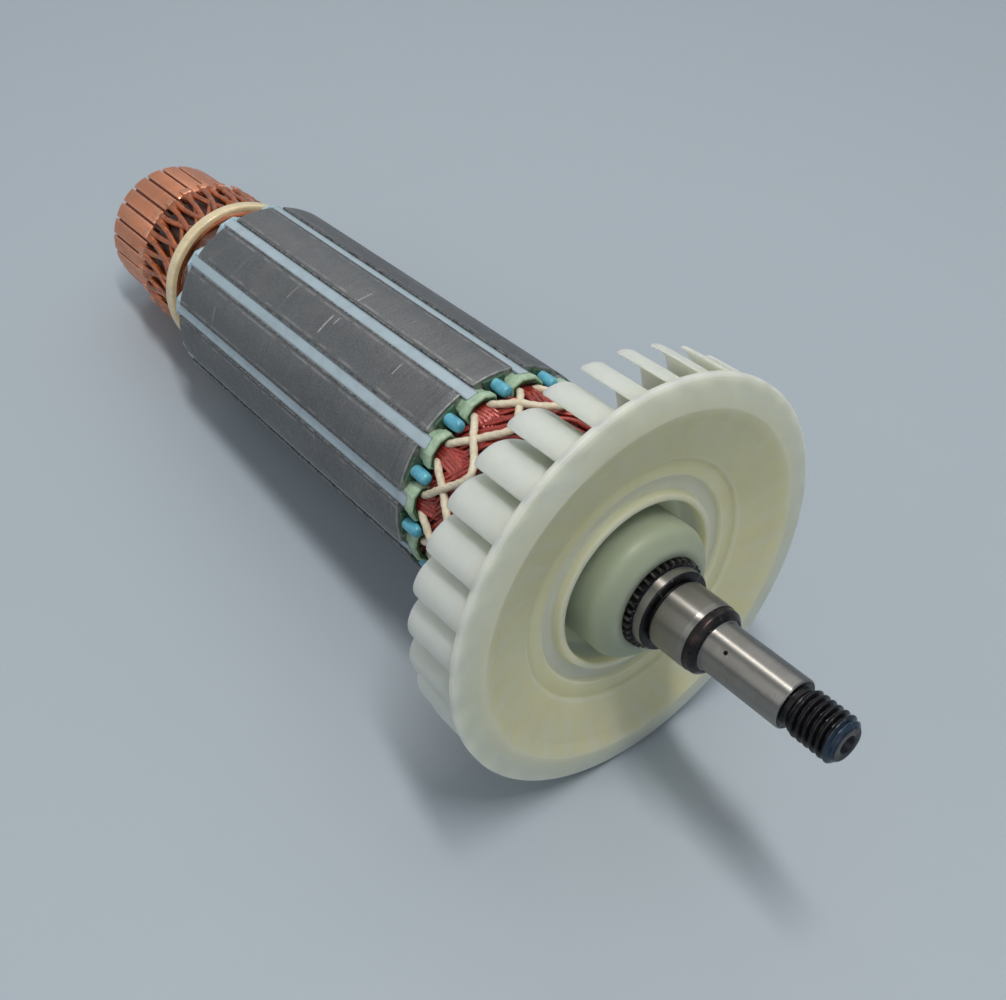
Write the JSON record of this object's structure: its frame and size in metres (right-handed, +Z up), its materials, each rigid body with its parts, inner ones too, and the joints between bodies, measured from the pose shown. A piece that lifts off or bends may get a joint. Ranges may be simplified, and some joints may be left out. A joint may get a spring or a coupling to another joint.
{
  "type": "motor armature",
  "caption": "Motor armature: slotted steel core, copper winding, segmented commutator, curved-blade cooling fan and a stepped shaft with a threaded end",
  "frame": {"origin": "middle of the footprint, on the surface that the armature lies on", "axes": "+X along the armature towards the threaded end, +Y across it, +Z up"},
  "size_m": [0.275, 0.0952, 0.0952],
  "materials": {
    "steel": "ground",
    "sleeve": "matte",
    "core": "ground sheet steel",
    "end_plate": "matte fibre",
    "winding": "enamelled copper",
    "leads": "varnished copper",
    "band": "woven tape",
    "hub": "moulded resin",
    "cord": "waxed cord",
    "fan": "translucent nylon",
    "pegs": "satin",
    "liner": "fibre paper",
    "wedge": "satin",
    "bars": "turned copper"
  },
  "bodies": {
    "root": {"shaft": "steel", "shaft_insulation_sleeve": "sleeve", "lamination_stack": "core", "end_insulator_front": "end_plate", "end_insulator_rear": "end_plate", "armature_winding": "winding", "winding_leads": "leads", "binding_band": "band", "commutator_hub": "hub", "lacing_cord": "cord", "cooling_fan": "fan", "end_pegs": "pegs", "slot_liner_01": "liner", "slot_liner_02": "liner", "slot_liner_03": "liner", "slot_liner_04": "liner", "slot_liner_05": "liner", "slot_liner_06": "liner", "slot_liner_07": "liner", "slot_liner_08": "liner", "slot_liner_09": "liner", "slot_liner_10": "liner", "slot_liner_11": "liner", "slot_liner_12": "liner", "slot_wedge_01": "wedge", "slot_wedge_02": "wedge", "slot_wedge_03": "wedge", "slot_wedge_04": "wedge", "slot_wedge_05": "wedge", "slot_wedge_06": "wedge", "slot_wedge_07": "wedge", "slot_wedge_08": "wedge", "slot_wedge_09": "wedge", "slot_wedge_10": "wedge", "slot_wedge_11": "wedge", "slot_wedge_12": "wedge", "commutator_bar_01": "bars", "commutator_bar_02": "bars", "commutator_bar_03": "bars", "commutator_bar_04": "bars", "commutator_bar_05": "bars", "commutator_bar_06": "bars", "commutator_bar_07": "bars", "commutator_bar_08": "bars", "commutator_bar_09": "bars", "commutator_bar_10": "bars", "commutator_bar_11": "bars", "commutator_bar_12": "bars", "commutator_bar_13": "bars", "commutator_bar_14": "bars", "commutator_bar_15": "bars", "commutator_bar_16": "bars", "commutator_bar_17": "bars", "commutator_bar_18": "bars", "commutator_bar_19": "bars", "commutator_bar_20": "bars", "commutator_bar_21": "bars", "commutator_bar_22": "bars", "commutator_bar_23": "bars", "commutator_bar_24": "bars"}
  },
  "joints": []
}
